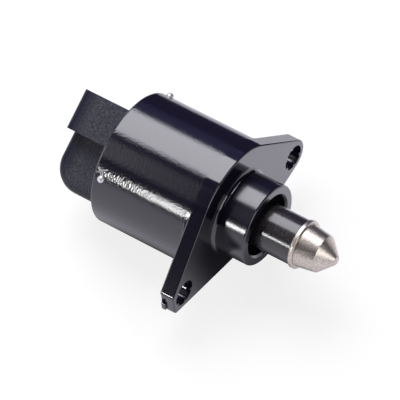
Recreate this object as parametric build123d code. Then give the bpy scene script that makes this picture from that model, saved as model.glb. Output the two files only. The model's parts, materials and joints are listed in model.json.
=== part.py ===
from build123d import *

import math
import os

# Stepper-driven idle air control valve, in millimetres.
# X is the valve axis, positive towards the pintle tip, and the origin lies in the mounting face.
# Y runs along the line through the two bolt holes, and Z points up.

# Clearances
running_clearance = 0.05
seat_clearance = 0.02
air_gap = 0.3
end_gap = 0.4
guide_clearance = 0.1

# Housing casting
body_radius = 18.4
body_length = 33.3
body_wall = 1.5
front_wall = 5.0
rim_round = 0.6
flange_thickness = 4.2
flange_edge_round = 0.4
hole_pitch = 50.0
hole_drop = 6.1
hole_radius = 3.55
ear_end_radius = 5.0
flange_low_inset = 1.7
ear_fillet = 1.0
boss_radius = 11.3
boss_length = 9.35
boss_bore_radius = 8.55
boss_fillet = 1.0
boss_edge_round = 0.5
sleeve_wall = 1.8
gate_end_reach = 4.6
gate_corner_round = 1.2
gate_width = 1.7
gate_split = 0.9
gate_notch_height = 3.1
gate_notch_depth = 0.45
gate_stub_height = 2.4
gate_stub_reach = 0.6
gate_stub_round = 0.25

# Pintle: its travel counts from the position modelled
extend_travel = 3.0
retract_travel = 5.0
shaft_radius = 6.33
shaft_front = 19.7
nose_radius = 4.2
nose_length = 5.3
collar_radius = 6.73
collar_length = 1.25
collar_round = 0.3
cone_root_radius = 5.95
ridge_radius = 5.1
ridge_x = 26.4
tip_x = 30.5
tip_flat_radius = 1.1
tip_round = 1.0
lug_radius = 7.6
lug_width = 2.8
lug_length = 2.0

# Guide bush in the boss
bush_depth = 4.35

# Lead screw
screw_radius = 2.5
screw_seat = 9.0
screw_reach = 15.5

# Front ball bearing and its spring washer
bearing_radius = 9.5
bearing_section = 4.5
bearing_width = 4.0
inner_ring_wall = 1.35
outer_ring_wall = 1.5
ball_radius = 1.25
ball_count = 10
ball_play = 0.1
cage_wall = 0.9
cage_width = 3.4
washer_space = 0.7
washer_thickness = 0.3
washer_width = 1.1

# Rotor
magnet_radius = 7.5
hub_radius = 4.6
hub_shoulder = 1.0
rear_journal_radius = 2.5
rear_bush_radius = 4.0
rear_bush_length = 3.0

# Claw-pole stator, two phases
phase_length = 6.4
sheet = 0.8
claw_count = 6
claw_root_width = 4.3
claw_tip_width = 2.3
bobbin_wall = 0.5

# Rear plug and connector
plug_recess = 0.5
plug_length = 6.78
connector_turn = 30.0
connector_reach = 15.4
mouth_y = 10.5
shroud_back = 0.6
shroud_half_height = 12.9
shroud_wall = 1.5
shroud_rear_wall = 2.1
socket_depth = 9.0
socket_corner = 1.2
elbow_y = 15.0
elbow_half_height = 7.5
elbow_corner = 7.5
connector_round = 3.2
latch_height = 1.4
latch_length = 4.5
latch_width = 6.0
latch_inset = 1.5
seal_inset = 1.8
seal_groove_width = 2.0
seal_groove_depth = 1.3
pin_radius = 1.0
pin_inset = 2.5
pin_depth = 2.2
pin_spread = 57.0

# Terminal blades
blade_count = 4
blade_pitch = 3.6
blade_width = 2.0
blade_thickness = 0.8
blade_reach = 6.5
blade_bend_y = 8.0

# Stations along the axis: the motor is stacked forwards from the plug in the rear rim
rim_x = -body_length
connector_end = rim_x - connector_reach
pin_x = rim_x + pin_inset
plug_rear = rim_x + plug_recess
plug_front = plug_rear + plug_length
stator_rear = plug_front + guide_clearance
stator_middle = stator_rear + phase_length
stator_front = stator_middle + phase_length
bearing_rear = stator_front + washer_space
bearing_front = bearing_rear + bearing_width
bush_rear = bearing_front + seat_clearance
bush_front = boss_length - bush_depth
shaft_rear = bush_rear + retract_travel + end_gap
screw_rear = shaft_rear - screw_reach

# Radii and places that several pieces share
bore_radius = body_radius - body_wall
flange_low_radius = body_radius - flange_low_inset
gate_y = -hole_pitch / 2 - gate_end_reach
gate_split_z = -hole_drop - gate_split
bearing_bore_radius = bearing_radius - bearing_section
sleeve_radius = bearing_radius + sleeve_wall
plug_radius = bore_radius - running_clearance
stator_radius = bore_radius - running_clearance
stator_inner_radius = magnet_radius + air_gap
ball_circle_radius = (bearing_bore_radius + inner_ring_wall + bearing_radius - outer_ring_wall) / 2
groove_radius = ball_radius + ball_play
socket_floor = mouth_y - socket_depth
socket_rear = connector_end + shroud_rear_wall
socket_front = plug_rear - shroud_wall
blade_x = (socket_rear + socket_front) / 2


def turned(*outline):
    """Solid of revolution about the valve axis from (x, radius) corners."""
    return revolve(make_face(Polyline(*outline, close=True)), Axis.X)


def tube(rear, front, outer, inner=0.0):
    """Round tube or rod on the valve axis between two stations."""
    return turned((rear, inner), (front, inner), (front, outer), (rear, outer))


def block(x_range, y_range, z_range):
    """Rectangular block between pairs of limits."""
    sizes = [high - low for low, high in (x_range, y_range, z_range)]
    middle = [(low + high) / 2 for low, high in (x_range, y_range, z_range)]
    return Pos(*middle) * Box(*sizes)


def around(count, first_angle=0.0):
    """Rotations about the valve axis, evenly spaced."""
    return [Rot(X=first_angle + 360 * i / count) for i in range(count)]


def ear_edge(side, root_radius, upper):
    """Straight edge of an ear, from the circle of the root to the round end, touching both."""
    hole = Vector(side * hole_pitch / 2, -hole_drop)
    lean = math.degrees(math.acos((root_radius - ear_end_radius) / hole.length))
    turn = lean if (side > 0) == upper else -lean
    direction = hole.normalized().rotate(Axis.Z, turn)
    return Line(direction * root_radius, hole + direction * ear_end_radius)


def round_ear(top_edge, low_edge):
    """Outline of the upper ear, which ends in an arc round its hole."""
    hole = Vector(hole_pitch / 2, -hole_drop)
    end_middle = hole + hole.normalized() * ear_end_radius
    return [top_edge, ThreePointArc(top_edge @ 1, end_middle, low_edge @ 1), low_edge]


def flat_ear(top_edge, low_edge):
    """Outline of the lower ear, whose edges run on to the flat end that the casting was gated at."""
    corners = []
    for edge in (top_edge, low_edge):
        start = edge @ 0
        step = edge % 0
        corners.append(start + step * ((gate_y - start.X) / step.X))
    return [FilletPolyline(top_edge @ 0, *corners, low_edge @ 0, radius=gate_corner_round)]


def flange_plan():
    """Flange outline: the round body, with edges that run from it to the ends of both ears."""
    outline = []
    top_roots = []
    low_roots = []
    for side, ear in ((-1, flat_ear), (1, round_ear)):
        top_edge = ear_edge(side, body_radius, True)
        low_edge = ear_edge(side, flange_low_radius, False)
        outline += ear(top_edge, low_edge)
        top_roots.append(top_edge @ 0)
        low_roots.append(low_edge @ 0)
    outline.append(ThreePointArc(top_roots[0], (0, body_radius), top_roots[1]))
    outline.append(ThreePointArc(low_roots[0], (0, -flange_low_radius), low_roots[1]))
    return make_face(outline)


def gate_stub():
    """Stub that the gate left on the flat ear end when it was broken off."""
    stub = block(
        (flange_edge_round - flange_thickness, gate_width - flange_thickness),
        (gate_y - gate_stub_reach, gate_y + gate_stub_reach),
        (gate_split_z - gate_stub_height, gate_split_z),
    )
    return fillet(stub.edges(), gate_stub_round)


def gate_notch():
    """Notch over the stub, open to the flange's rear face."""
    return block(
        (-flange_thickness, gate_width - flange_thickness),
        (gate_y, gate_y + gate_notch_depth),
        (gate_split_z, gate_split_z + gate_notch_height),
    )


def housing():
    """Die casting with flange, boss, stator bore and bearing sleeve in one piece."""
    plan = flange_plan()
    plate = extrude(Plane.YZ.offset(-flange_thickness) * plan, flange_thickness)
    edge_loops = plate.edges().filter_by_position(Axis.X, -flange_thickness, -flange_thickness)
    edge_loops += plate.edges().filter_by_position(Axis.X, 0, 0)
    plate = fillet(edge_loops, flange_edge_round)

    barrel = tube(rim_x, flange_edge_round - flange_thickness, body_radius)
    rim = barrel.edges().filter_by(GeomType.CIRCLE).sort_by(Axis.X)[0]
    barrel = fillet(rim, rim_round)

    corner = -flange_thickness
    concave = Pos(corner - ear_fillet, body_radius + ear_fillet) * Circle(ear_fillet)
    web = make_face(
        Polyline(
            (corner - ear_fillet, body_radius - body_wall),
            (corner + flange_edge_round, body_radius - body_wall),
            (corner + flange_edge_round, body_radius + ear_fillet),
            (corner - ear_fillet, body_radius + ear_fillet),
            close=True,
        )
    )
    root_fillet = revolve(web - concave, Axis.X)
    flat_plan = offset(plan, -flange_edge_round)
    root_fillet &= extrude(Plane.YZ.offset(corner - ear_fillet) * flat_plan, ear_fillet + flange_edge_round)

    boss = tube(-flange_thickness / 2, boss_length, boss_radius)
    boss_rim = boss.edges().filter_by(GeomType.CIRCLE).sort_by(Axis.X)[-1]
    boss = fillet(boss_rim, boss_edge_round)

    body = plate + barrel + root_fillet + boss
    boss_root = [
        e
        for e in body.edges().filter_by(GeomType.CIRCLE).filter_by_position(Axis.X, 0, 0)
        if abs(e.radius - boss_radius) < seat_clearance
    ]
    body = fillet(boss_root, boss_fillet)

    body -= tube(rim_x, stator_front, bore_radius)
    body -= tube(stator_front, -front_wall, bore_radius, sleeve_radius)
    body -= tube(stator_front, bearing_front, bearing_radius)
    body -= tube(bearing_front, boss_length, boss_bore_radius)
    mouth = [
        e
        for e in body.edges().filter_by(GeomType.CIRCLE).filter_by_position(Axis.X, boss_length, boss_length)
        if abs(e.radius - boss_bore_radius) < seat_clearance
    ]
    body = chamfer(mouth, boss_edge_round)

    for side in (-1, 1):
        hole = Pos(0, side * hole_pitch / 2, -hole_drop) * tube(-flange_thickness, 0, hole_radius)
        body -= hole
    body = body + gate_stub() - gate_notch()
    for place in pin_places():
        body -= place * pin_bore()
    return body


def pin_places():
    """Turns of the three lock pins about the valve axis: a pair above and one below."""
    return [Rot(X=pin_spread), Rot(X=180), Rot(X=-pin_spread)]


def pin_bore():
    """Radial drilling for a lock pin, above the axis."""
    drilling = Cylinder(
        pin_radius + seat_clearance,
        body_radius - bore_radius + 2 * pin_depth,
        align=(Align.CENTER, Align.CENTER, Align.MIN),
    )
    return Pos(pin_x, 0, bore_radius - pin_depth) * drilling


def lock_pin():
    """Steel pin with a domed head, above the axis."""
    length = body_radius - bore_radius + pin_depth
    stem = Cylinder(pin_radius, length, align=(Align.CENTER, Align.CENTER, Align.MIN))
    dome = Pos(0, 0, length) * Sphere(pin_radius)
    return Pos(pin_x, 0, bore_radius - pin_depth) * (stem + dome)


def guide_bush():
    """Sleeve pressed into the boss, with two keyways that stop the pintle from turning."""
    bush = tube(bush_rear, bush_front, boss_bore_radius - seat_clearance, shaft_radius + running_clearance)
    keyway_front = shaft_rear + lug_length + extend_travel + end_gap
    half_width = lug_width / 2 + guide_clearance
    keyway = tube(bush_rear, keyway_front, lug_radius + air_gap)
    keyway &= block((bush_rear, keyway_front), (-body_radius, body_radius), (-half_width, half_width))
    return bush - keyway


def pintle_shaft():
    """Plastic shaft with a nose for the metal tip and two guide lugs at its rear end."""
    nose_front = shaft_front + nose_length
    shaft = turned(
        (shaft_rear, 0),
        (shaft_rear, shaft_radius),
        (shaft_front, shaft_radius),
        (shaft_front, nose_radius),
        (nose_front, nose_radius),
        (nose_front, 0),
    )
    lugs = tube(shaft_rear, shaft_rear + lug_length, lug_radius)
    lugs &= block(
        (shaft_rear, shaft_rear + lug_length), (-body_radius, body_radius), (-lug_width / 2, lug_width / 2)
    )
    return shaft + lugs - tube(shaft_rear, shaft_rear + screw_seat, screw_radius + seat_clearance)


def pintle_tip():
    """Turned metal tip: a collar, a slow cone, a ridge and a steep cone with a rounded point."""
    collar_front = shaft_front + collar_length
    tip = turned(
        (shaft_front, 0),
        (shaft_front, collar_radius),
        (collar_front, collar_radius),
        (collar_front, cone_root_radius),
        (ridge_x, ridge_radius),
        (tip_x, tip_flat_radius),
        (tip_x, 0),
    )
    point = tip.edges().filter_by(GeomType.CIRCLE).sort_by(Axis.X)[-1]
    tip = fillet(point, tip_round)
    collar_edges = [
        e for e in tip.edges().filter_by(GeomType.CIRCLE) if abs(e.radius - collar_radius) < seat_clearance
    ]
    tip = fillet(collar_edges, collar_round)
    return tip - tube(shaft_front, shaft_front + nose_length + seat_clearance, nose_radius + seat_clearance)


def lead_screw():
    """Steel screw moulded into the shaft, reaching back into the rotor's nut."""
    return tube(screw_rear, shaft_rear + screw_seat - seat_clearance, screw_radius)


def rotor_hub():
    """Plastic hub with the nut bore, the bearing journal, the magnet seat and the rear journal."""
    shoulder_radius = bearing_bore_radius + hub_shoulder
    journal_radius = bearing_bore_radius - seat_clearance
    magnet_front = stator_front - end_gap
    magnet_rear = stator_rear + end_gap
    journal_rear = plug_front - rear_bush_length + end_gap
    hub = turned(
        (bearing_front, 0),
        (bearing_front, journal_radius),
        (bearing_rear, journal_radius),
        (bearing_rear, shoulder_radius),
        (magnet_front, shoulder_radius),
        (magnet_front, hub_radius),
        (magnet_rear, hub_radius),
        (magnet_rear, rear_journal_radius),
        (journal_rear, rear_journal_radius),
        (journal_rear, 0),
    )
    return hub - tube(screw_rear - retract_travel - end_gap, bearing_front, screw_radius + running_clearance)


def rotor_magnet():
    """Ring magnet on the hub."""
    return tube(stator_rear + end_gap, stator_front - end_gap, magnet_radius, hub_radius + seat_clearance)


def ball_groove():
    """Ring-shaped groove in which the balls run."""
    ring = Torus(ball_circle_radius, groove_radius)
    return Pos((bearing_front + bearing_rear) / 2, 0, 0) * Rot(Y=90) * ring


def bearing_inner_ring():
    outer = bearing_bore_radius + inner_ring_wall
    return tube(bearing_rear, bearing_front, outer, bearing_bore_radius) - ball_groove()


def bearing_outer_ring():
    outer = bearing_radius - seat_clearance
    return tube(bearing_rear, bearing_front, outer, bearing_radius - outer_ring_wall) - ball_groove()


def on_ball_circle(shape):
    """Copies of a shape at every ball's place."""
    middle = (bearing_front + bearing_rear) / 2
    return [place * Pos(middle, 0, ball_circle_radius) * shape for place in around(ball_count)]


def bearing_balls():
    return Compound(children=on_ball_circle(Sphere(ball_radius)))


def bearing_cage():
    """Ring between the bearing's rings, with a pocket for each ball."""
    middle = (bearing_front + bearing_rear) / 2
    cage = tube(
        middle - cage_width / 2,
        middle + cage_width / 2,
        ball_circle_radius + cage_wall / 2,
        ball_circle_radius - cage_wall / 2,
    )
    for pocket in on_ball_circle(Cylinder(groove_radius, 2 * cage_wall)):
        cage -= pocket
    return cage


def spring_washer():
    """Dished washer that presses the bearing's outer ring on to its shoulder."""
    outer = bearing_radius - guide_clearance
    inner = outer - washer_width
    rise = washer_space - washer_thickness
    return turned(
        (bearing_rear, outer),
        (bearing_rear - washer_thickness, outer),
        (bearing_rear - washer_thickness - rise, inner),
        (bearing_rear - rise, inner),
    )


def claws(root_x, tip_x, first_angle):
    """Tapering pole claws that stand along the axis on the stator's inner radius."""
    plan = make_face(
        Polyline(
            (root_x, -claw_root_width / 2),
            (tip_x, -claw_tip_width / 2),
            (tip_x, claw_tip_width / 2),
            (root_x, claw_root_width / 2),
            close=True,
        )
    )
    prism = extrude(plan, stator_radius)
    shell = tube(min(root_x, tip_x), max(root_x, tip_x), stator_inner_radius + sheet, stator_inner_radius)
    claw = prism & shell
    return [place * claw for place in around(claw_count, first_angle)]


def pole_plate(end_x, inward, first_angle):
    """Flat pole plate with its claws; inward is +1 where the coil lies towards +X."""
    root_x = end_x + inward * sheet
    tip = end_x + inward * (phase_length - sheet - end_gap)
    plate = tube(min(end_x, root_x), max(end_x, root_x), stator_radius, stator_inner_radius)
    for claw in claws(root_x, tip, first_angle):
        plate += claw
    return plate


def pole_cup(end_x, inward, first_angle):
    """Pole plate with a rim that closes the phase on its outside."""
    lip = end_x + inward * (phase_length - sheet)
    rim = tube(min(end_x, lip), max(end_x, lip), stator_radius, stator_radius - sheet)
    return pole_plate(end_x, inward, first_angle) + rim


def coil_bobbin(phase_front):
    """Plastic spool round the claws of one phase."""
    front = phase_front - sheet - seat_clearance
    rear = phase_front - phase_length + sheet + seat_clearance
    inner = stator_inner_radius + sheet + guide_clearance
    core = inner + bobbin_wall
    cheek = stator_radius - sheet - guide_clearance
    return turned(
        (front, inner),
        (front, cheek),
        (front - bobbin_wall, cheek),
        (front - bobbin_wall, core),
        (rear + bobbin_wall, core),
        (rear + bobbin_wall, cheek),
        (rear, cheek),
        (rear, inner),
    )


def coil_winding(phase_front):
    """Copper winding on a bobbin."""
    cover = sheet + bobbin_wall + 2 * seat_clearance
    core = stator_inner_radius + sheet + guide_clearance + bobbin_wall + seat_clearance
    outer = stator_radius - 2 * sheet
    return tube(phase_front - phase_length + cover, phase_front - cover, outer, core)


def rear_bush():
    """Plain bush in the plug for the rotor's rear journal."""
    bore = rear_journal_radius + running_clearance
    return tube(plug_front - rear_bush_length, plug_front, rear_bush_radius, bore)


def plug_seal():
    """Rubber ring between the plug and the housing bore."""
    floor = plug_radius - seal_groove_depth
    section = (bore_radius - floor) / 2 - seat_clearance
    ring = Torus((bore_radius + floor) / 2, section)
    return Pos(plug_front - seal_inset, 0, 0) * Rot(Y=90) * ring


def blade_height(index):
    """Height of a terminal blade in the connector's own frame."""
    return (index - (blade_count - 1) / 2) * blade_pitch


def blade(index, grow=0.0):
    """Terminal blade, bent from the motor's axis to the mouth; grow widens it into its slot."""
    half = blade_thickness / 2 + grow
    height = blade_height(index)
    z_range = (height - blade_width / 2 - grow, height + blade_width / 2 + grow)
    x_range = (blade_x - half, blade_x + half)
    arm = block(x_range, (-blade_bend_y - half, socket_floor + blade_reach + grow), z_range)
    leg = block(
        (blade_x - half, plug_front - end_gap + grow),
        (-blade_bend_y - half, -blade_bend_y + half),
        z_range,
    )
    return arm + leg


def connector_shroud():
    """Rectangular shroud round the socket, with its long rear edges rounded."""
    shroud = block(
        (connector_end, plug_rear), (-shroud_back, mouth_y), (-shroud_half_height, shroud_half_height)
    )
    rear_edges = shroud.edges().filter_by(Axis.Y).group_by(Axis.X)[0]
    return fillet(rear_edges, connector_round)


def connector_elbow():
    """Rounded elbow that carries the blades from the plug into the shroud."""
    elbow = block((connector_end, plug_rear), (-elbow_y, 0), (-elbow_half_height, elbow_half_height))
    outer_corner = elbow.edges().filter_by(Axis.Z).group_by(Axis.X)[0].sort_by(Axis.Y)[0]
    elbow = fillet(outer_corner, elbow_corner)
    caps = elbow.faces().filter_by(Axis.Z)
    rims = [
        e
        for e in caps.edges()
        if e.center().Y < -connector_round and e.center().X < plug_rear - connector_round
        or e.center().X < connector_end + connector_round
    ]
    return fillet(rims, connector_round)


def latch_ramp():
    """Wedge on the shroud's rear face that holds the plug's latch."""
    front_y = mouth_y - latch_inset
    profile = make_face(
        Polyline(
            (connector_end, front_y),
            (connector_end - latch_height, front_y - latch_length),
            (connector_end, front_y - latch_length),
            close=True,
        )
    )
    return extrude(profile, latch_width / 2, both=True)


def connector_body():
    """Rear plug, elbow and socket shroud, moulded as one piece."""
    plug = tube(plug_rear, plug_front, plug_radius)
    floor = plug_radius - seal_groove_depth
    groove_middle = plug_front - seal_inset
    plug -= tube(
        groove_middle - seal_groove_width / 2, groove_middle + seal_groove_width / 2, body_radius, floor
    )
    plug -= tube(plug_front - rear_bush_length, plug_front, rear_bush_radius + seat_clearance)
    for place in pin_places():
        plug -= place * pin_bore()

    socket = block(
        (socket_rear, socket_front),
        (socket_floor, mouth_y),
        (shroud_wall - shroud_half_height, shroud_half_height - shroud_wall),
    )
    socket = fillet(socket.edges().filter_by(Axis.Y), socket_corner)
    connector = connector_shroud() + connector_elbow() + latch_ramp() - socket
    connector = plug + Rot(X=connector_turn) * connector
    for index in range(blade_count):
        connector -= Rot(X=connector_turn) * blade(index, seat_clearance)
    return connector


def all_nodes():
    """Every piece of the valve by name."""
    half_claw = 180 / claw_count
    quarter_claw = half_claw / 2
    nodes = {
        "housing": housing(),
        "guide_bush": guide_bush(),
        "bearing_outer_ring": bearing_outer_ring(),
        "bearing_inner_ring": bearing_inner_ring(),
        "bearing_balls": bearing_balls(),
        "bearing_cage": bearing_cage(),
        "spring_washer": spring_washer(),
        "stator_cup_front": pole_cup(stator_front, -1, 0),
        "stator_plate_front": pole_plate(stator_middle, 1, half_claw),
        "stator_plate_rear": pole_plate(stator_middle, -1, quarter_claw),
        "stator_cup_rear": pole_cup(stator_rear, 1, quarter_claw + half_claw),
        "coil_bobbin_front": coil_bobbin(stator_front),
        "coil_bobbin_rear": coil_bobbin(stator_middle),
        "coil_winding_front": coil_winding(stator_front),
        "coil_winding_rear": coil_winding(stator_middle),
        "rotor_hub": rotor_hub(),
        "rotor_magnet": rotor_magnet(),
        "rear_bush": rear_bush(),
        "lead_screw": lead_screw(),
        "pintle_shaft": pintle_shaft(),
        "pintle_tip": pintle_tip(),
        "connector_body": connector_body(),
        "plug_seal": plug_seal(),
    }
    for index, place in enumerate(pin_places()):
        nodes[f"lock_pin_{index + 1}"] = place * lock_pin()
    for index in range(blade_count):
        nodes[f"terminal_blade_{index + 1}"] = Rot(X=connector_turn) * blade(index)
    return nodes


os.makedirs("parts", exist_ok=True)
for name, shape in all_nodes().items():
    export_step(shape, f"parts/{name}.step")
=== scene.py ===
import json
import math

import bpy
from bpy.props import FloatProperty, FloatVectorProperty, IntProperty, PointerProperty
from mathutils import Matrix, Vector


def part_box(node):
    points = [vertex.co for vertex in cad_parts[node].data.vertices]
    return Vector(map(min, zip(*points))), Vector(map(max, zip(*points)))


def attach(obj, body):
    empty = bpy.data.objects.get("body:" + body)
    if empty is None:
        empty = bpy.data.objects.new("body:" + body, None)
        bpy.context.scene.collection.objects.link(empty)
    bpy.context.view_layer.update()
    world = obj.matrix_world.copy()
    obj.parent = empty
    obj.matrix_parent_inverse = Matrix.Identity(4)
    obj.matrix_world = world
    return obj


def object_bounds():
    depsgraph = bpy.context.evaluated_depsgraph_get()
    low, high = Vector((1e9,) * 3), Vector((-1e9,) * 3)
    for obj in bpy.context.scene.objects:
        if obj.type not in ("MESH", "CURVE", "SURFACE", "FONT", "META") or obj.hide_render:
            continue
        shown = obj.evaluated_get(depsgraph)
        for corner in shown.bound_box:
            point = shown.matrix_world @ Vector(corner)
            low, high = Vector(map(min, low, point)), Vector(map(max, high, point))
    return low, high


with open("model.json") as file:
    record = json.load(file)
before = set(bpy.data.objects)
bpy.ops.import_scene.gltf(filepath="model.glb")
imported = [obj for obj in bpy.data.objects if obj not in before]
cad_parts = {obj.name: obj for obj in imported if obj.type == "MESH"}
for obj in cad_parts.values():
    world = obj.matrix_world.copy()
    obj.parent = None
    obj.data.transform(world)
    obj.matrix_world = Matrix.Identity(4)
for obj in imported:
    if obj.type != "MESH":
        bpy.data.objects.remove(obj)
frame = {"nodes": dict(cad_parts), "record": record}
cad_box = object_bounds()

bl_info = {
    "name": "Idle Air Control Valve",
    "version": (1, 0, 0),
    "blender": (4, 5, 0),
    "location": "3D View > Sidebar > Valve",
    "description": "Finishes the valve's pieces, adds its small cast details and sets the studio",
    "category": "Object",
}

MM = 0.001

# A band texture repeats after this length at scale 1.
BAND_LENGTH = 2 * math.pi / 20

# Places of a colour mix's sockets: its factor, its two colours and its result.
MIX_FACTOR, MIX_FIRST, MIX_SECOND, MIX_RESULT = 0, 6, 7, 2

# Most of a noise lies in this range, which is spread to the full contrast.
MIDDLE_OF_NOISE = {"From Min": 0.35, "From Max": 0.65}

# Turn of the paint's grain, in radians about each axis, which keeps its cells out of line with the barrel.
SKEW = (0.6, 0.4, 0.7)

# Stretches of a grain: rings round the valve's axis, and streaks along a rolled strip.
TURNED = (1, 0.05, 0.05)
ROLLED = (1, 0.1, 1)

WHITE = (1, 1, 1, 1)

FLANGE_THICKNESS = 4.2 * MM

# Share of a rib's width that its round nose takes on each side.
NOSE_SHARE = 0.45

# Share of the wire's pitch by which a turn stands out of its coil.
TURN_SHARE = 1 / 3

# A face looks along an axis if its normal has more than this along it.
FACING = 0.5

# Edges that turn by more than this stay sharp.
SHARP = math.radians(40)

# The camera sees as far as this many radii of the floor.
SIGHT = 10


def linear(hex_colour):
    """Linear red, green, blue and alpha of an sRGB hex colour, by the standard's own curve."""
    channels = [int(hex_colour[i : i + 2], 16) / 255 for i in (1, 3, 5)]
    return [c / 12.92 if c <= 0.04045 else ((c + 0.055) / 1.055) ** 2.4 for c in channels] + [1.0]


def colour(name, description, hex_colour):
    """Colour property with an sRGB hex default."""
    return FloatVectorProperty(
        name=name, description=description, subtype="COLOR", size=4, min=0.0, max=1.0, default=linear(hex_colour)
    )


def length(name, description, millimetres):
    """Length property with a default in millimetres."""
    return FloatProperty(
        name=name, description=description, unit="LENGTH", precision=6, default=millimetres * MM
    )


def angle(name, description, degrees):
    """Angle property with a default in degrees."""
    return FloatProperty(
        name=name, description=description, subtype="ANGLE", default=math.radians(degrees)
    )


def share(name, description, default):
    """Property from none to all."""
    return FloatProperty(name=name, description=description, subtype="FACTOR", min=0.0, max=1.0, default=default)


def power(name, description, watts):
    """Power property with a default in watts."""
    return FloatProperty(name=name, description=description, unit="POWER", default=watts)


def number(name, description, default):
    """Plain number property."""
    return FloatProperty(name=name, description=description, default=default)


class HousingSettings(bpy.types.PropertyGroup):
    coat_colour: colour("Coat colour", "Black paint on the casting", "#171420")
    coat_thin_colour: colour("Thin coat colour", "Paint where it lies thinner", "#1E1B2A")
    peel_size: length("Orange peel size", "Width of one soft wave of the paint", 1.1)
    peel_height: length("Orange peel height", "Depth of the paint's waves", 0.003)
    grit_size: length("Grit size", "Width of one grain under the paint of the barrel", 0.46)
    grit_height: length("Grit height", "Depth of the grain under the paint of the barrel", 0.02)
    flange_grit: share("Flange grit", "Share of that depth on the flange and the boss", 0.06)
    barrel_roughness: share("Barrel roughness", "Roughness of the paint on the barrel", 0.13)
    flange_roughness: share("Flange roughness", "Roughness of the paint on the flange", 0.08)
    boss_roughness: share("Boss roughness", "Roughness of the thin paint on the turned boss", 0.19)
    boss_start: length("Boss start", "Distance from the flange's front face at which the boss is turned", 1.2)
    boss_blend: length("Boss blend", "Length over which the boss's duller paint sets in", 1.0)
    hole_roughness: share("Hole roughness", "Roughness of the thin paint in the holes", 0.16)
    hole_rim: length("Hole rim", "Width round a hole over which its dull paint ends", 0.1)


class RibSettings(bpy.types.PropertyGroup):
    count: IntProperty(name="Ribs in a hole", description="Number of ribs that grip the screw", default=5)
    first_turn: angle("First rib", "Angle of the first rib, from the other hole's direction", 90)
    step: angle("Rib spacing", "Angle from one rib to the next", 60)
    width: length("Rib width", "Width of a rib", 0.9)
    height: length("Rib height", "How far a rib stands out of the hole's wall", 0.6)
    seat: length("Rib seat", "How far a rib's foot reaches into the wall", 0.1)
    setback: length("Rib setback", "Distance from the flange's faces to a rib's ends", 0.05)
    edge_round: length("Rib rounding", "Rounding of a rib's ends", 0.08)
    # Painted shade: the flanks' dull navy stands in for the shade inside the holes.
    flank_shade_colour: colour("Flank colour", "Thin paint on the flanks of the ribs", "#141329")
    flank_grain: length("Flank grain", "Width of one patch of the thin paint", 0.3)
    flank_relief: length("Flank relief", "Depth of the thin paint's patches", 0.003)


class MotorSettings(bpy.types.PropertyGroup):
    steel_colour: colour("Steel colour", "Ground steel of the bearing and the screw", "#C3C3C6")
    zinc_colour: colour("Zinc colour", "Zinc plating of the pole plates", "#B4B6BA")
    copper_colour: colour("Copper colour", "Enamelled copper wire", "#B4622F")
    bobbin_colour: colour("Bobbin colour", "Natural plastic of the coil bobbins", "#D8D2C0")
    cage_colour: colour("Cage colour", "Natural plastic of the ball cage", "#A8946C")
    bush_colour: colour("Bush colour", "Black plastic of the bushes and the hub", "#26262A")
    magnet_colour: colour("Magnet colour", "Sintered magnet", "#45454A")
    wire_pitch: length("Wire pitch", "Distance between the turns of a coil", 0.3)


class PintleSettings(bpy.types.PropertyGroup):
    shaft_colour: colour("Shaft colour", "Black plastic of the pintle shaft", "#302C2F")
    tip_colour: colour("Tip colour", "Bare metal of the pintle tip", "#DCD3C9")
    tip_worn_colour: colour("Worn tip colour", "Metal where the tip is dulled by wear", "#B7AEA6")
    wear_size: length("Wear size", "Width of one dull speck on the tip", 0.4)
    wear_depth: length("Wear depth", "Depth of the dull specks on the tip", 0.035)
    turning_pitch: length("Turning pitch", "Distance between the tool marks on the tip", 0.6)
    turning_depth: length("Turning depth", "Depth of the tool marks on the tip", 0.0006)


class ConnectorSettings(bpy.types.PropertyGroup):
    plastic_colour: colour("Plastic colour", "Dark grey plastic of the connector", "#31313A")
    plastic_light_colour: colour("Light plastic colour", "Plastic where the grain is worn bright", "#54545E")
    # Painted shade: over the two distances below, the plastic fades towards the connector's rear end into this
    # navy, which stands in for the dark reflections of the rounded rear edges.
    rear_edge_shade_colour: colour("Edge colour", "Plastic on the smooth, rounded rear edges", "#0B0B26")
    rear_shade_start: length("Edge start", "Distance from the connector's rear end at which its grain sets in", 3.2)
    rear_shade_end: length("Edge end", "Distance from the connector's rear end at which its grain is full", 7.0)
    grain_size: length("Grain size", "Width of one grain of the moulded surface", 0.42)
    grain_height: length("Grain height", "Depth of the moulded grain", 0.02)
    tin_colour: colour("Tin colour", "Tin plating of the terminal blades", "#C9C6BC")
    seal_colour: colour("Seal colour", "Black rubber of the plug's seal", "#17171A")
    pin_colour: colour("Pin colour", "Polished steel of the lock pins", "#EAEAEC")


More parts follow.
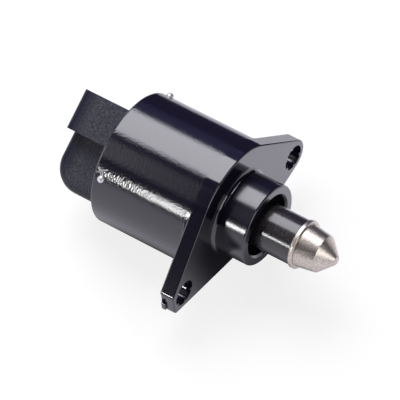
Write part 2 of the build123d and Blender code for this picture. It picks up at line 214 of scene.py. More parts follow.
class StageSettings(bpy.types.PropertyGroup):
    floor_colour: colour("Floor colour", "Pale floor under the valve", "#848484")
    floor_radius: length("Floor radius", "Distance from the valve to the sweep's wall", 1500)
    wall_height: length("Wall height", "Height of the sweep's wall", 150)
    shade_x: length("Shade place", "Middle of the floor that stays dark in reflections, along the valve", -16)
    shade_stretch: number("Shade stretch", "How much longer that floor is along the valve than across it", 2.0)
    shade_start: length("Shade start", "Distance from that middle at which reflections begin to show the glow", 12)
    shade_end: length("Shade end", "Distance at which reflections show the whole glow", 26.5)
    mirror_colour: colour("Mirror colour", "Colour of the glow in reflections", "#F4F2FF")
    mirror_gain: number("Mirror gain", "How much stronger the glow is in reflections than for the camera", 1.0)
    pool_gain: number("Pool gain", "The same for the bright pool on the floor by the upper ear", 1.6)
    pool_x: length("Pool place", "Middle of the bright pool along the valve", 9)
    pool_y: length("Pool offset", "Middle of the bright pool across the valve", 33)
    pool_inner: length("Pool inner radius", "Distance from that middle at which the pool begins to fade", 8)
    pool_outer: length("Pool outer radius", "Distance from that middle at which the pool ends", 38)
    near_glow: number("Near glow", "Glow that lifts the lit floor round the valve to white", 0.81)
    far_glow: number("Far glow", "Glow of the floor where the lamps' light has fallen off", 0.95)
    far_start: length("Far glow start", "Distance at which the lamps' light begins to fall off", 300)
    far_end: length("Far glow end", "Distance at which the floor glows in full", 1000)
    room_colour: colour("Room colour", "Dark room that the paint reflects", "#1A1A24")
    card_colour: colour("Black card colour", "Card behind the valve that darkens the paint's upper edge", "#34375E")
    card_place: length("Black card place", "Distance of the card behind the valve's axis", 78)
    card_height: length("Black card height", "Height of the card over the floor", 64)
    card_rear: length("Black card rear end", "Rear end of the card along the valve", -110)
    card_front: length("Black card front end", "Front end of the card along the valve", 30)
    card_thickness: length("Black card thickness", "Thickness of the card", 2)
    lamp_distance: length("Lamp distance", "Distance of the lamps from the valve", 600)
    box_turn: angle("Soft box turn", "Angle of the soft box from straight above, away from the camera", 20.25)
    box_spread: angle("Soft box spread", "Angle that the soft box covers", 43.5)
    box_length: length("Soft box length", "Length of the soft box along the valve", 500)
    box_colour: colour("Soft box colour", "Cool white of the soft box", "#F8F8FF")
    box_power: power("Soft box power", "Power of the soft box", 3.8)
    strip_turn: angle("Strip light turn", "The same angle of the strip light, negative towards the camera", -71.5)
    strip_spread: angle("Strip light spread", "Angle that the strip light covers", 8)
    strip_length: length("Strip light length", "Length of the strip light along the valve", 36)
    strip_shift: length("Strip light shift", "Shift of the strip light towards the pintle", 17)
    strip_power: power("Strip light power", "Power of the strip light", 0.36)
    dim_turn: angle("Dim panel turn", "The same angle of the dim panel, negative towards the camera", -33.5)
    dim_spread: angle("Dim panel spread", "Angle that the dim panel covers", 27)
    dim_length: length("Dim panel length", "Length of the dim panel along the valve", 200)
    dim_shift: length("Dim panel shift", "Shift of the dim panel towards the pintle, negative to the rear", -110)
    dim_power: power("Dim panel power", "Power of the dim panel", 0.12)
    blue_turn: angle("Blue panel turn", "Angle of the blue panel from straight above, away from the camera", 58)
    blue_spread: angle("Blue panel spread", "Angle that the blue panel covers", 28)
    blue_length: length("Blue panel length", "Length of the blue panel along the valve", 400)
    blue_colour: colour("Blue panel colour", "Colour of the blue panel behind the valve", "#A5A8FF")
    blue_power: power("Blue panel power", "Power of the blue panel", 0.08)
    front_lean: angle("Front panel lean", "Lean of the front panel towards the pintle, negative to the rear", -5)
    front_turn: angle("Front panel turn", "The same angle of the front panel, negative towards the camera", -20)
    front_spread: angle("Front panel spread", "Angle that the front panel covers", 26)
    front_length: length("Front panel length", "Length of the front panel along the valve", 160)
    front_power: power("Front panel power", "Power of the front panel", 0.11)
    fill_azimuth: angle("Fill light azimuth", "Direction of the fill light round the valve", 78)
    fill_elevation: angle("Fill light elevation", "Height of the fill light over the horizon", 22)
    fill_spread: angle("Fill light spread", "Angle that the fill light covers", 26)
    fill_length: length("Fill light length", "Length of the fill light", 300)
    fill_power: power("Fill light power", "Power of the fill light", 0.75)
    rear_azimuth: angle("Rear light azimuth", "Direction of the rear light round the valve", -56)
    rear_elevation: angle("Rear light elevation", "Height of the rear light over the horizon", 26)
    rear_spread: angle("Rear light spread", "Angle that the rear light covers", 30)
    rear_length: length("Rear light length", "Length of the rear light", 300)
    rear_power: power("Rear light power", "Power of the rear light", 0.6)
    camera_azimuth: angle("Camera azimuth", "Direction of the camera round the valve", 40.864)
    camera_elevation: angle("Camera elevation", "Height of the camera over the horizon", 53.543)
    camera_roll: angle("Camera roll", "Turn of the camera about its own line of sight", -7.895)
    camera_distance: length("Camera distance", "Distance from the camera to the point it aims at", 1038.567)
    view_width: length("View width", "Width of the picture at that point", 102.617)
    aim_x: length("Aim along the valve", "Point that the camera aims at, along X", -10.196)
    aim_y: length("Aim across the valve", "Point that the camera aims at, across the valve", -2.184)


def add_node(tree, kind, inputs=None, **settings):
    """Adds a node with its settings; an input takes a value or the socket that feeds it."""
    node = tree.nodes.new(kind)
    for name, value in settings.items():
        setattr(node, name, value)
    for name, value in (inputs or {}).items():
        if isinstance(value, bpy.types.NodeSocket):
            tree.links.new(value, node.inputs[name])
        else:
            node.inputs[name].default_value = value
    return node


def start_finish(name, **constants):
    """New material with its shader's constant values set, and the object's own coordinates to draw on."""
    material = bpy.data.materials.new(name)
    material.use_nodes = True
    tree = material.node_tree
    shader = tree.nodes["Principled BSDF"]
    for socket, value in constants.items():
        shader.inputs[socket.replace("_", " ").title().replace("Ior", "IOR")].default_value = value
    place = add_node(tree, "ShaderNodeTexCoord").outputs["Object"]
    return material, tree, shader, place


def give(material, *names):
    """Puts a material on CAD nodes."""
    for name in names:
        frame["nodes"][name].material_slots[0].material = material


def nodes_like(start):
    """Names of the CAD nodes that begin alike."""
    return [name for name in frame["nodes"] if name.startswith(start)]


def clear_selection(kind):
    """Selects nothing of the mesh in hand, so that code can select its faces or edges."""
    bpy.ops.object.mode_set(mode="EDIT")
    bpy.ops.mesh.select_mode(type=kind)
    bpy.ops.mesh.select_all(action="DESELECT")
    bpy.ops.object.mode_set(mode="OBJECT")


def select_faces(piece, wanted):
    """Goes to edit mode with the faces selected that answer a test."""
    clear_selection("FACE")
    for face in piece.data.polygons:
        face.select = wanted(face)
    bpy.ops.object.mode_set(mode="EDIT")


def select_edges(piece, wanted):
    """Goes to edit mode with the edges selected whose two ends, lower one first, answer a test."""
    clear_selection("EDGE")
    points = piece.data.vertices
    for edge in piece.data.edges:
        ends = sorted((points[i].co for i in edge.vertices), key=lambda point: point.z)
        edge.select = wanted(*ends)
    bpy.ops.object.mode_set(mode="EDIT")


def mottled_finish(name, dark, light, *, grain, roughness, relief, stretch=(1, 1, 1), **constants):
    """Material whose tint, sheen and relief follow one grain, which a stretch draws out into streaks."""
    material, tree, shader, place = start_finish(name, **constants)
    laid = add_node(tree, "ShaderNodeMapping", {"Vector": place, "Scale": stretch})
    grains = add_node(
        tree, "ShaderNodeTexNoise", {"Vector": laid.outputs["Vector"], "Scale": 1 / grain, "Detail": 3.0}
    )
    contrast = add_node(tree, "ShaderNodeMapRange", {"Value": grains.outputs["Fac"], **MIDDLE_OF_NOISE})
    tint = add_node(
        tree,
        "ShaderNodeMix",
        {MIX_FACTOR: contrast.outputs["Result"], MIX_FIRST: dark, MIX_SECOND: light},
        data_type="RGBA",
    )
    sheen = add_node(
        tree,
        "ShaderNodeMapRange",
        {"Value": contrast.outputs["Result"], "To Min": roughness[0], "To Max": roughness[1]},
    )
    bump = add_node(tree, "ShaderNodeBump", {"Height": grains.outputs["Fac"], "Distance": relief})
    tree.links.new(tint.outputs[MIX_RESULT], shader.inputs["Base Color"])
    tree.links.new(sheen.outputs["Result"], shader.inputs["Roughness"])
    tree.links.new(bump.outputs["Normal"], shader.inputs["Normal"])
    return material


def shade(tint, factor):
    """A lighter or darker shade of a colour."""
    return [min(channel * factor, 1.0) for channel in tint[:3]] + [1.0]


def flange_holes():
    """Middle, pitch and radius of the flange's two holes."""
    mount = next(m for m in frame["record"]["mounts"] if m["name"] == "flange_holes")
    dims = mount["dims"]
    return {
        "middle": Vector(mount["pos_m"]),
        "pitch": dims["spacing_x_mm"] * MM,
        "radius": dims["hole_r_mm"] * MM,
    }


def gloss_black_paint(settings):
    """Stoved black paint on a casting: deep gloss, a duller boss, and a sparkling grain on the barrel.

    The real grain is too fine to show in the render, so it is drawn coarser.
    """
    material, tree, shader, place = start_finish("gloss_black_paint", ior=1.5, specular_ior_level=0.95)
    peel = add_node(tree, "ShaderNodeTexNoise", {"Vector": place, "Scale": 1 / settings.peel_size, "Detail": 1.0})
    skewed = add_node(tree, "ShaderNodeMapping", {"Vector": place, "Rotation": SKEW})
    grit = add_node(
        tree, "ShaderNodeTexVoronoi", {"Vector": skewed.outputs["Vector"], "Scale": 1 / settings.grit_size}
    )
    tint = add_node(
        tree,
        "ShaderNodeMix",
        {
            MIX_FACTOR: grit.outputs["Distance"],
            MIX_FIRST: settings.coat_colour,
            MIX_SECOND: settings.coat_thin_colour,
        },
        data_type="RGBA",
    )
    axes = add_node(tree, "ShaderNodeSeparateXYZ", {"Vector": place}).outputs
    along = axes["X"]
    barrel = add_node(
        tree,
        "ShaderNodeMapRange",
        {
            "Value": along,
            "From Min": -FLANGE_THICKNESS - settings.grit_size,
            "From Max": -FLANGE_THICKNESS + settings.grit_size,
            "To Min": 1.0,
            "To Max": settings.flange_grit,
        },
    )
    cast = add_node(
        tree,
        "ShaderNodeMapRange",
        {
            "Value": barrel.outputs["Result"],
            "From Min": settings.flange_grit,
            "To Min": settings.flange_roughness,
            "To Max": settings.barrel_roughness,
        },
    )
    gloss = add_node(
        tree,
        "ShaderNodeMapRange",
        {
            "Value": along,
            "From Min": settings.boss_start,
            "From Max": settings.boss_start + settings.boss_blend,
            "To Min": cast.outputs["Result"],
            "To Max": settings.boss_roughness,
        },
    )
    holes = flange_holes()
    folded = add_node(
        tree,
        "ShaderNodeCombineXYZ",
        {
            "Y": add_node(tree, "ShaderNodeMath", {0: axes["Y"]}, operation="ABSOLUTE").outputs["Value"],
            "Z": axes["Z"],
        },
    )
    off_hole = add_node(
        tree,
        "ShaderNodeVectorMath",
        {0: folded.outputs["Vector"], 1: (0, holes["pitch"] / 2, holes["middle"].z)},
        operation="DISTANCE",
    )
    sheen = add_node(
        tree,
        "ShaderNodeMapRange",
        {
            "Value": off_hole.outputs["Value"],
            "From Min": holes["radius"],
            "From Max": holes["radius"] + settings.hole_rim,
            "To Min": settings.hole_roughness,
            "To Max": gloss.outputs["Result"],
        },
    )
    waves = add_node(tree, "ShaderNodeBump", {"Height": peel.outputs["Fac"], "Distance": settings.peel_height})
    grains = add_node(
        tree,
        "ShaderNodeBump",
        {
            "Strength": barrel.outputs["Result"],
            "Height": grit.outputs["Distance"],
            "Distance": settings.grit_height,
            "Normal": waves.outputs["Normal"],
        },
    )
    tree.links.new(tint.outputs[MIX_RESULT], shader.inputs["Base Color"])
    tree.links.new(sheen.outputs["Result"], shader.inputs["Roughness"])
    tree.links.new(grains.outputs["Normal"], shader.inputs["Normal"])
    return material


def thin_black_paint(settings):
    """Black paint that barely reaches into the holes: a dull navy with little shine, whose navy darkness is painted
    shade inside the holes.
    """
    return mottled_finish(
        "thin_black_paint",
        settings.flank_shade_colour,
        shade(settings.flank_shade_colour, 1.6),
        grain=settings.flank_grain,
        roughness=(0.35, 0.5),
        relief=settings.flank_relief,
        ior=1.5,
        specular_ior_level=0.2,
    )


def half_gloss_nylon(settings):
    """Black moulded nylon: half gloss, with faint flow marks in its sheen."""
    tint = settings.shaft_colour
    return mottled_finish(
        "half_gloss_nylon",
        shade(tint, 0.8),
        shade(tint, 1.2),
        grain=0.8 * MM,
        roughness=(0.2, 0.28),
        relief=0.002 * MM,
        ior=1.53,
        coat_weight=0.5,
        coat_roughness=0.14,
    )


def turned_aluminium(settings):
    """Bare turned aluminium: a warm, soft shine, speckled by wear, with tool marks round it.

    The real marks and specks are too fine to show in the render, so they are drawn coarser.
    """
    material, tree, shader, place = start_finish("turned_aluminium", metallic=1.0, roughness=0.36)
    wear = add_node(tree, "ShaderNodeTexNoise", {"Vector": place, "Scale": 1 / settings.wear_size, "Detail": 2.0})
    bright = add_node(tree, "ShaderNodeMapRange", {"Value": wear.outputs["Fac"], **MIDDLE_OF_NOISE})
    rings = add_node(
        tree,
        "ShaderNodeTexWave",
        {"Vector": place, "Scale": BAND_LENGTH / settings.turning_pitch, "Distortion": 0.6, "Detail": 2.0},
        bands_direction="X",
    )
    tint = add_node(
        tree,
        "ShaderNodeMix",
        {
            MIX_FACTOR: bright.outputs["Result"],
            MIX_FIRST: settings.tip_worn_colour,
            MIX_SECOND: settings.tip_colour,
        },
        data_type="RGBA",
    )
    marks = add_node(tree, "ShaderNodeBump", {"Height": rings.outputs["Fac"], "Distance": settings.turning_depth})
    specks = add_node(
        tree,
        "ShaderNodeBump",
        {"Height": wear.outputs["Fac"], "Distance": settings.wear_depth, "Normal": marks.outputs["Normal"]},
    )
    tree.links.new(tint.outputs[MIX_RESULT], shader.inputs["Base Color"])
    tree.links.new(specks.outputs["Normal"], shader.inputs["Normal"])
    return material


def grained_pbt(settings):
    """Dark grey glass-filled PBT from a grained mould: matt, with a mottled bloom, and painted shade that darkens
    it to navy towards the rear edges.
    """
    material = mottled_finish(
        "grained_pbt",
        settings.plastic_colour,
        settings.plastic_light_colour,
        grain=settings.grain_size,
        roughness=(0.42, 0.55),
        relief=settings.grain_height,
        ior=1.5,
        specular_ior_level=0.2,
    )
    tree = material.node_tree
    base = tree.nodes["Principled BSDF"].inputs["Base Color"]
    place = add_node(tree, "ShaderNodeTexCoord").outputs["Object"]
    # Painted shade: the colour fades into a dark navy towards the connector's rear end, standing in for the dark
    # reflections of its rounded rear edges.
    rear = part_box("connector_body")[0].x
    inside = add_node(
        tree,
        "ShaderNodeMapRange",
        {
            "Value": add_node(tree, "ShaderNodeSeparateXYZ", {"Vector": place}).outputs["X"],
            "From Min": rear + settings.rear_shade_start,
            "From Max": rear + settings.rear_shade_end,
        },
    )
    rear_shaded_tint = add_node(
        tree,
        "ShaderNodeMix",
        {
            MIX_FACTOR: inside.outputs["Result"],
            MIX_FIRST: settings.rear_edge_shade_colour,
            MIX_SECOND: base.links[0].from_socket,
        },
        data_type="RGBA",
    )
    tree.links.new(rear_shaded_tint.outputs[MIX_RESULT], base)
    return material


def polished_steel(settings):
    """Polished steel, softened by handling: a bright, blurred shine with fine smears."""
    tint = settings.pin_colour
    return mottled_finish(
        "polished_steel",
        shade(tint, 0.85),
        tint,
        grain=0.4 * MM,
        roughness=(0.42, 0.5),
        relief=0.001 * MM,
        metallic=1.0,
    )


def tinned_brass(settings):
    """Tin-plated brass strip: dull silver, streaked along the strip by rolling."""
    tint = settings.tin_colour
    return mottled_finish(
        "tinned_brass",
        shade(tint, 0.75),
        tint,
        grain=0.3 * MM,
        roughness=(0.35, 0.5),
        relief=0.002 * MM,
        stretch=ROLLED,
        metallic=1.0,
    )


def nitrile_rubber(settings):
    """Moulded nitrile rubber: soft black with a dusty bloom."""
    tint = settings.seal_colour
    return mottled_finish(
        "nitrile_rubber", tint, shade(tint, 1.6), grain=0.5 * MM, roughness=(0.6, 0.8), relief=0.004 * MM
    )


def ground_steel(settings):
    """Ground bearing steel: bright, with fine grinding rings round the axis."""
    tint = settings.steel_colour
    return mottled_finish(
        "ground_steel",
        shade(tint, 0.8),
        tint,
        grain=0.15 * MM,
        roughness=(0.16, 0.28),
        relief=0.001 * MM,
        stretch=TURNED,
        metallic=1.0,
    )


def zinc_plate(settings):
    """Zinc-plated pressed steel: cool silver with a fine cloudy spangle."""
    tint = settings.zinc_colour
    return mottled_finish(
        "zinc_plate",
        shade(tint, 0.7),
        tint,
        grain=0.9 * MM,
        roughness=(0.3, 0.48),
        relief=0.003 * MM,
        metallic=1.0,
    )


def enamelled_copper(settings):
    """Enamelled copper wire: each turn a glossy orange ridge, with a dark line of painted shade between turns."""
    material, tree, shader, place = start_finish(
        "enamelled_copper", metallic=1.0, roughness=0.28, coat_weight=0.6, coat_roughness=0.08
    )
    turns = add_node(
        tree,
        "ShaderNodeTexWave",
        {"Vector": place, "Scale": BAND_LENGTH / settings.wire_pitch, "Distortion": 0.2},
        bands_direction="X",
    )
    tint = add_node(
        tree,
        "ShaderNodeMix",
        {
            MIX_FACTOR: turns.outputs["Fac"],
            MIX_FIRST: shade(settings.copper_colour, 0.25),
            MIX_SECOND: settings.copper_colour,
        },
        data_type="RGBA",
    )
    ridges = add_node(
        tree, "ShaderNodeBump", {"Height": turns.outputs["Fac"], "Distance": settings.wire_pitch * TURN_SHARE}
    )
    tree.links.new(tint.outputs[MIX_RESULT], shader.inputs["Base Color"])
    tree.links.new(ridges.outputs["Normal"], shader.inputs["Normal"])
    return material


def bobbin_nylon(settings):
    """Natural glass-filled nylon: creamy, with a faint mottle of fibres."""
    tint = settings.bobbin_colour
    return mottled_finish(
        "bobbin_nylon", shade(tint, 0.85), tint, grain=0.7 * MM, roughness=(0.45, 0.6), relief=0.004 * MM, ior=1.53
    )


def cage_nylon(settings):
    """Natural cage nylon: tan and waxy."""
    tint = settings.cage_colour
    return mottled_finish(
        "cage_nylon", shade(tint, 0.85), tint, grain=0.6 * MM, roughness=(0.35, 0.5), relief=0.003 * MM, ior=1.53
    )


def bush_acetal(settings):
    """Black acetal of the bushes and the hub: smooth and waxy, made to slide."""
    tint = settings.bush_colour
    return mottled_finish(
        "bush_acetal", shade(tint, 0.7), tint, grain=0.6 * MM, roughness=(0.3, 0.42), relief=0.002 * MM, ior=1.48
    )


def sintered_ferrite(settings):
    """Sintered ferrite: grey-black and stony, with fine open pores."""
    tint = settings.magnet_colour
    return mottled_finish(
        "sintered_ferrite", shade(tint, 0.6), tint, grain=0.35 * MM, roughness=(0.45, 0.7), relief=0.01 * MM
    )


class VALVE_OT_housing(bpy.types.Operator):
    """Coat the housing"""

    bl_idname = "valve.housing"
    bl_label = "Coat the housing"

    def execute(self, context):
        give(gloss_black_paint(context.scene.valve_housing), "housing")
        return {"FINISHED"}


class VALVE_OT_hole_ribs(bpy.types.Operator):
    """Set the ribs that grip the screws into both holes of the flange"""

    bl_idname = "valve.hole_ribs"
    bl_label = "Add the hole ribs"

    def execute(self, context):
        settings = context.scene.valve_ribs
        holes = flange_holes()
        rib = model_rib(settings, holes["radius"])
        rib.data.materials.append(frame["nodes"]["housing"].material_slots[0].material)
        rib.data.materials.append(thin_black_paint(settings))
        # The ends keep the housing's gloss, and the flanks get the dull navy paint that is painted shade in the
        # holes.
        for face in rib.data.polygons:
            face.material_index = 0 if abs(face.normal.x) > FACING else 1
        for side in (-1, 1):
            place = Matrix.Translation(holes["middle"] + Vector((0, side * holes["pitch"] / 2, 0)))
            for index in range(settings.count):
                turn = Matrix.Rotation(settings.first_turn + index * settings.step, 4, "X")
                copy = rib.copy()
                copy.data = rib.data.copy()
                copy.data.transform(place @ turn)
                copy.name = f"hole_rib_{'lower' if side < 0 else 'upper'}_{index + 1}"
                context.collection.objects.link(copy)
                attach(copy, "housing")
        bpy.data.objects.remove(rib)
        return {"FINISHED"}


def model_rib(settings, hole_radius):
    """One rib on the +Y side of a hole about the X axis: a bar with a round nose and rounded ends."""
    nose = hole_radius - settings.height
    foot = hole_radius + settings.seat
    middle = (nose + foot) / 2
    rear = -FLANGE_THICKNESS + settings.setback
    front = -settings.setback
    bpy.ops.object.select_all(action="DESELECT")
    bpy.ops.mesh.primitive_cube_add(
        size=1,
        location=((rear + front) / 2, middle, 0),
        scale=(front - rear, foot - nose, settings.width),
    )
    rib = bpy.context.object
    bpy.ops.object.transform_apply(location=True, scale=True)
    # The two long edges of the nose, and then the edges round both ends.
    select_edges(rib, lambda a, b: abs(a.x - b.x) > settings.width and max(a.y, b.y) < middle)
    bpy.ops.mesh.bevel(offset=settings.width * NOSE_SHARE, segments=4)
    select_edges(rib, lambda a, b: abs(a.x - b.x) < settings.edge_round and min(a.y, b.y) < middle)
    bpy.ops.mesh.bevel(offset=settings.edge_round, segments=2)
    bpy.ops.object.mode_set(mode="OBJECT")
    bpy.ops.object.shade_smooth_by_angle(angle=SHARP)
    return rib


class VALVE_OT_bearing(bpy.types.Operator):
    """Finish the ball bearing, its spring washer and the bushes"""

    bl_idname = "valve.bearing"
    bl_label = "Finish the bearings"

    def execute(self, context):
        settings = context.scene.valve_motor
        steel = ground_steel(settings)
        give(steel, "bearing_outer_ring", "bearing_inner_ring", "bearing_balls", "spring_washer")
        give(cage_nylon(settings), "bearing_cage")
        give(bush_acetal(settings), "guide_bush", "rear_bush")
        return {"FINISHED"}


class VALVE_OT_stator(bpy.types.Operator):
    """Finish the pole plates, the bobbins and the windings"""

    bl_idname = "valve.stator"
    bl_label = "Finish the stator"

    def execute(self, context):
        settings = context.scene.valve_motor
        zinc = zinc_plate(settings)
        give(zinc, "stator_cup_front", "stator_plate_front", "stator_plate_rear", "stator_cup_rear")
        give(bobbin_nylon(settings), "coil_bobbin_front", "coil_bobbin_rear")
        give(enamelled_copper(settings), "coil_winding_front", "coil_winding_rear")
        return {"FINISHED"}


class VALVE_OT_rotor(bpy.types.Operator):
    """Finish the rotor's hub and magnet"""

    bl_idname = "valve.rotor"
    bl_label = "Finish the rotor"

    def execute(self, context):
        settings = context.scene.valve_motor
        give(bush_acetal(settings), "rotor_hub")
        give(sintered_ferrite(settings), "rotor_magnet")
        return {"FINISHED"}


class VALVE_OT_pintle(bpy.types.Operator):
    """Finish the pintle's shaft, tip and lead screw"""

    bl_idname = "valve.pintle"
    bl_label = "Finish the pintle"

    def execute(self, context):
        settings = context.scene.valve_pintle
        give(half_gloss_nylon(settings), "pintle_shaft")
        give(turned_aluminium(settings), "pintle_tip")
        give(ground_steel(context.scene.valve_motor), "lead_screw")
        return {"FINISHED"}


class VALVE_OT_connector(bpy.types.Operator):
    """Finish the connector, its blades and its seal"""

    bl_idname = "valve.connector"
    bl_label = "Finish the connector"

    def execute(self, context):
        settings = context.scene.valve_connector
        give(grained_pbt(settings), "connector_body")
        give(nitrile_rubber(settings), "plug_seal")
        give(tinned_brass(settings), *nodes_like("terminal_blade"))
        return {"FINISHED"}


class VALVE_OT_lock_pins(bpy.types.Operator):
    """Polish the lock pins"""

    bl_idname = "valve.lock_pins"
    bl_label = "Polish the lock pins"

    def execute(self, context):
        give(polished_steel(context.scene.valve_connector), *nodes_like("lock_pin"))
        return {"FINISHED"}


class VALVE_OT_stage(bpy.types.Operator):
    """Set the floor, the black card, the lamps, the room and the camera"""

    bl_idname = "valve.stage"
    bl_label = "Set the stage"

    def execute(self, context):
        settings = context.scene.valve_stage
        toward_camera = compass_direction(settings.camera_azimuth, settings.camera_elevation)
        # The barrel mirrors what leans to the rear as far as the camera leans to the front.
        lean = -math.asin(toward_camera.x)
        lamps = {
            "soft_box": ("box", turned_direction(lean, settings.box_turn)),
            "strip_light": ("strip", turned_direction(lean, settings.strip_turn)),
            "dim_panel": ("dim", turned_direction(lean, settings.dim_turn)),
            "blue_panel": ("blue", turned_direction(lean, settings.blue_turn)),
            "front_panel": ("front", turned_direction(settings.front_lean, settings.front_turn)),
            "fill_light": ("fill", compass_direction(settings.fill_azimuth, settings.fill_elevation)),
            "rear_light": ("rear", compass_direction(settings.rear_azimuth, settings.rear_elevation)),
        }
        add_floor(settings)
        add_black_card(settings)
        for name, (prefix, away) in lamps.items():
            add_lamp(settings, name, prefix, away)
        set_room(context, settings)
        add_camera(context, settings, toward_camera)
        context.scene.view_settings.view_transform = "Standard"
        return {"FINISHED"}


def add_floor(settings):
    """Round white floor that sweeps up into a low wall."""
    bpy.ops.object.select_all(action="DESELECT")
    bottom = cad_box[0].z
    bpy.ops.mesh.primitive_cylinder_add(
        vertices=128,
        radius=settings.floor_radius,
        depth=settings.wall_height,
        location=(0, 0, bottom + settings.wall_height / 2),
    )
    floor = bpy.context.object
    floor.name = "floor"
    bpy.ops.object.transform_apply(location=True)
    select_faces(floor, lambda face: face.normal.z > FACING)
    bpy.ops.mesh.delete(type="ONLY_FACE")
    select_edges(floor, lambda low, high: high.z < bottom + settings.wall_height / 2)
    bpy.ops.mesh.bevel(offset=settings.wall_height / 2, segments=12)
    bpy.ops.mesh.select_all(action="SELECT")
    bpy.ops.mesh.normals_make_consistent(inside=True)
    bpy.ops.object.mode_set(mode="OBJECT")
    bpy.ops.object.shade_smooth_by_angle(angle=SHARP)
    floor.data.materials.append(matt_white_board(settings))


def matt_white_board(settings):
    """Matt pale board under the lamps, which glows to white for the camera and in reflections. In reflections its
    glow is held back in a painted shadow under the valve and raised in a painted pool of light by the upper ear.
    """
    material, tree, shader, place = start_finish(
        "matt_white_board", base_color=settings.floor_colour, roughness=0.9, specular_ior_level=0.0
    )
    bottom = cad_box[0].z
    laid = add_node(
        tree,
        "ShaderNodeMapping",
        {"Vector": place, "Location": (settings.shade_x, 0, bottom), "Scale": (settings.shade_stretch, 1, 1)},
        vector_type="TEXTURE",
    )
    distance = add_node(
        tree, "ShaderNodeVectorMath", {0: laid.outputs["Vector"]}, operation="LENGTH"
    ).outputs["Value"]
    off_pool = add_node(
        tree,
        "ShaderNodeVectorMath",
        {0: place, 1: (settings.pool_x, settings.pool_y, bottom)},
        operation="DISTANCE",
    )
    # Painted pool of light: reflections see the glow raised near the upper ear.
    gain = add_node(
        tree,
        "ShaderNodeMapRange",
        {
            "Value": off_pool.outputs["Value"],
            "From Min": settings.pool_inner,
            "From Max": settings.pool_outer,
            "To Min": settings.pool_gain,
            "To Max": settings.mirror_gain,
        },
        interpolation_type="SMOOTHSTEP",
    )
    # Painted shadow: reflections see the glow fade out under the valve.
    unshaded = add_node(
        tree,
        "ShaderNodeMapRange",
        {
            "Value": distance,
            "From Min": settings.shade_start,
            "From Max": settings.shade_end,
            "To Max": gain.outputs["Result"],
        },
        interpolation_type="SMOOTHSTEP",
    )
    glow = add_node(
        tree,
        "ShaderNodeMapRange",
        {
            "Value": distance,
            "From Min": settings.far_start,
            "From Max": settings.far_end,
            "To Min": settings.near_glow,
            "To Max": settings.far_glow,
        },
    )
    ray = add_node(tree, "ShaderNodeLightPath").outputs
    bounced = add_node(
        tree, "ShaderNodeMath", {0: ray["Is Glossy Ray"], 1: ray["Is Transmission Ray"]}, operation="MAXIMUM"
    )
    seen = add_node(
        tree,
        "ShaderNodeMath",
        {0: bounced.outputs["Value"], 1: unshaded.outputs["Result"], 2: ray["Is Camera Ray"]},
        operation="MULTIPLY_ADD",
    )
    strength = add_node(
        tree, "ShaderNodeMath", {0: seen.outputs["Value"], 1: glow.outputs["Result"]}, operation="MULTIPLY"
    )
    glow_colour = add_node(
        tree,
        "ShaderNodeMix",
        {MIX_FACTOR: bounced.outputs["Value"], MIX_FIRST: WHITE, MIX_SECOND: settings.mirror_colour},
        data_type="RGBA",
    )
    tree.links.new(glow_colour.outputs[MIX_RESULT], shader.inputs["Emission Color"])
    tree.links.new(strength.outputs["Value"], shader.inputs["Emission Strength"])
    material.cycles.emission_sampling = "NONE"
    return material


def add_black_card(settings):
    """Black card that stands on the floor behind the valve and is seen only in its reflections."""
    bpy.ops.object.select_all(action="DESELECT")
    middle = (settings.card_rear + settings.card_front) / 2
    height = settings.card_height
    bpy.ops.mesh.primitive_plane_add(
        size=1,
        location=(middle, settings.card_place, cad_box[0].z + height / 2),
        rotation=(math.pi / 2, 0, 0),
    )
    card = bpy.context.object
    card.name = "black_card"
    bpy.ops.transform.resize(value=(settings.card_front - settings.card_rear, 1, height))
    bpy.ops.object.transform_apply(location=True, rotation=True, scale=True)
    bpy.ops.object.mode_set(mode="EDIT")
    bpy.ops.mesh.select_all(action="SELECT")
    bpy.ops.mesh.extrude_region_move(TRANSFORM_OT_translate={"value": (0, settings.card_thickness, 0)})
    bpy.ops.mesh.select_all(action="SELECT")
    bpy.ops.mesh.normals_make_consistent(inside=False)
    bpy.ops.object.mode_set(mode="OBJECT")
    card.visible_camera = False
    card.visible_diffuse = False
    card.visible_shadow = False
    material, *_ = start_finish(
        "black_card", base_color=settings.card_colour, roughness=0.9, specular_ior_level=0.0
    )
    card.data.materials.append(material)


def compass_direction(azimuth, elevation):
    """Direction from the valve at an azimuth round it and an elevation over the horizon."""
    flat = math.cos(elevation)
    return Vector((math.sin(azimuth) * flat, -math.cos(azimuth) * flat, math.sin(elevation)))


def turned_direction(lean, turn):
    """Direction that leans along the valve's axis and turns round it, from straight above."""
    return Vector((math.sin(lean), math.cos(lean) * math.sin(turn), math.cos(lean) * math.cos(turn)))


def add_lamp(settings, name, prefix, away):
    """Area lamp that shines on the valve, from the settings that share a prefix.

    Its long side lies as near to the valve's axis as its direction allows.
    """
    across = away.cross(Vector((1, 0, 0))).normalized()
    along = across.cross(away)
    pose = Matrix((along, across, away)).transposed()
    shift = getattr(settings, f"{prefix}_shift", 0.0)
    bpy.ops.object.light_add(
        type="AREA", location=away * settings.lamp_distance + along * shift, rotation=pose.to_euler()
    )
    lamp = bpy.context.object
    lamp.name = name
    lamp.visible_camera = False
    lamp.data.shape = "RECTANGLE"
    lamp.data.size = getattr(settings, f"{prefix}_length")
    lamp.data.size_y = 2 * settings.lamp_distance * math.tan(getattr(settings, f"{prefix}_spread") / 2)
    lamp.data.energy = getattr(settings, f"{prefix}_power")
    lamp.data.color = getattr(settings, f"{prefix}_colour", WHITE)[:3]


def set_room(context, settings):
    """Dark room round the stage."""
    room = bpy.data.worlds.new("dark_room")
    room.use_nodes = True
    background = room.node_tree.nodes["Background"]
    background.inputs["Color"].default_value = settings.room_colour
    background.inputs["Strength"].default_value = 1.0
    context.scene.world = room


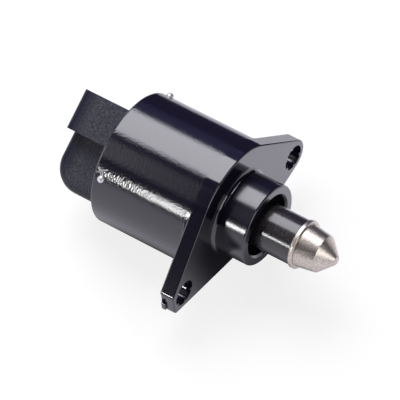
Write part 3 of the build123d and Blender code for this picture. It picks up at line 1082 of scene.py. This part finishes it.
def add_camera(context, settings, back):
    """Camera at the picture's angle."""
    right = (-back).cross(Vector((0, 0, 1))).normalized()
    up = right.cross(-back)
    turn = settings.camera_roll
    turned_right = right * math.cos(turn) + up * math.sin(turn)
    turned_up = up * math.cos(turn) - right * math.sin(turn)
    pose = Matrix((turned_right, turned_up, back)).transposed()
    aim = Vector((settings.aim_x, settings.aim_y, 0))
    bpy.ops.object.camera_add(
        location=aim + back * settings.camera_distance, rotation=pose.to_euler()
    )
    camera = context.object
    camera.data.lens = camera.data.sensor_width * settings.camera_distance / settings.view_width
    camera.data.clip_end = SIGHT * settings.floor_radius
    context.scene.camera = camera


class VALVE_PT_panel(bpy.types.Panel):
    """Steps that finish the valve"""

    bl_idname = "VALVE_PT_panel"
    bl_label = "Idle Air Control Valve"
    bl_space_type = "VIEW_3D"
    bl_region_type = "UI"
    bl_category = "Valve"

    def draw(self, context):
        for step in STEPS:
            self.layout.operator(step.bl_idname)


SETTINGS = {
    "valve_housing": HousingSettings,
    "valve_ribs": RibSettings,
    "valve_motor": MotorSettings,
    "valve_pintle": PintleSettings,
    "valve_connector": ConnectorSettings,
    "valve_stage": StageSettings,
}
STEPS = (
    VALVE_OT_housing,
    VALVE_OT_hole_ribs,
    VALVE_OT_bearing,
    VALVE_OT_stator,
    VALVE_OT_rotor,
    VALVE_OT_pintle,
    VALVE_OT_connector,
    VALVE_OT_lock_pins,
    VALVE_OT_stage,
)
CLASSES = (*SETTINGS.values(), *STEPS, VALVE_PT_panel)


def register():
    for cls in CLASSES:
        bpy.utils.register_class(cls)
    for name, group in SETTINGS.items():
        setattr(bpy.types.Scene, name, PointerProperty(type=group))


def unregister():
    for name in SETTINGS:
        delattr(bpy.types.Scene, name)
    for cls in reversed(CLASSES):
        bpy.utils.unregister_class(cls)


def main():
    register()
    bpy.ops.valve.housing()
    bpy.ops.valve.hole_ribs()
    bpy.ops.valve.bearing()
    bpy.ops.valve.stator()
    bpy.ops.valve.rotor()
    bpy.ops.valve.pintle()
    bpy.ops.valve.connector()
    bpy.ops.valve.lock_pins()
    bpy.ops.valve.stage()


if __name__ == "__main__":
    main()
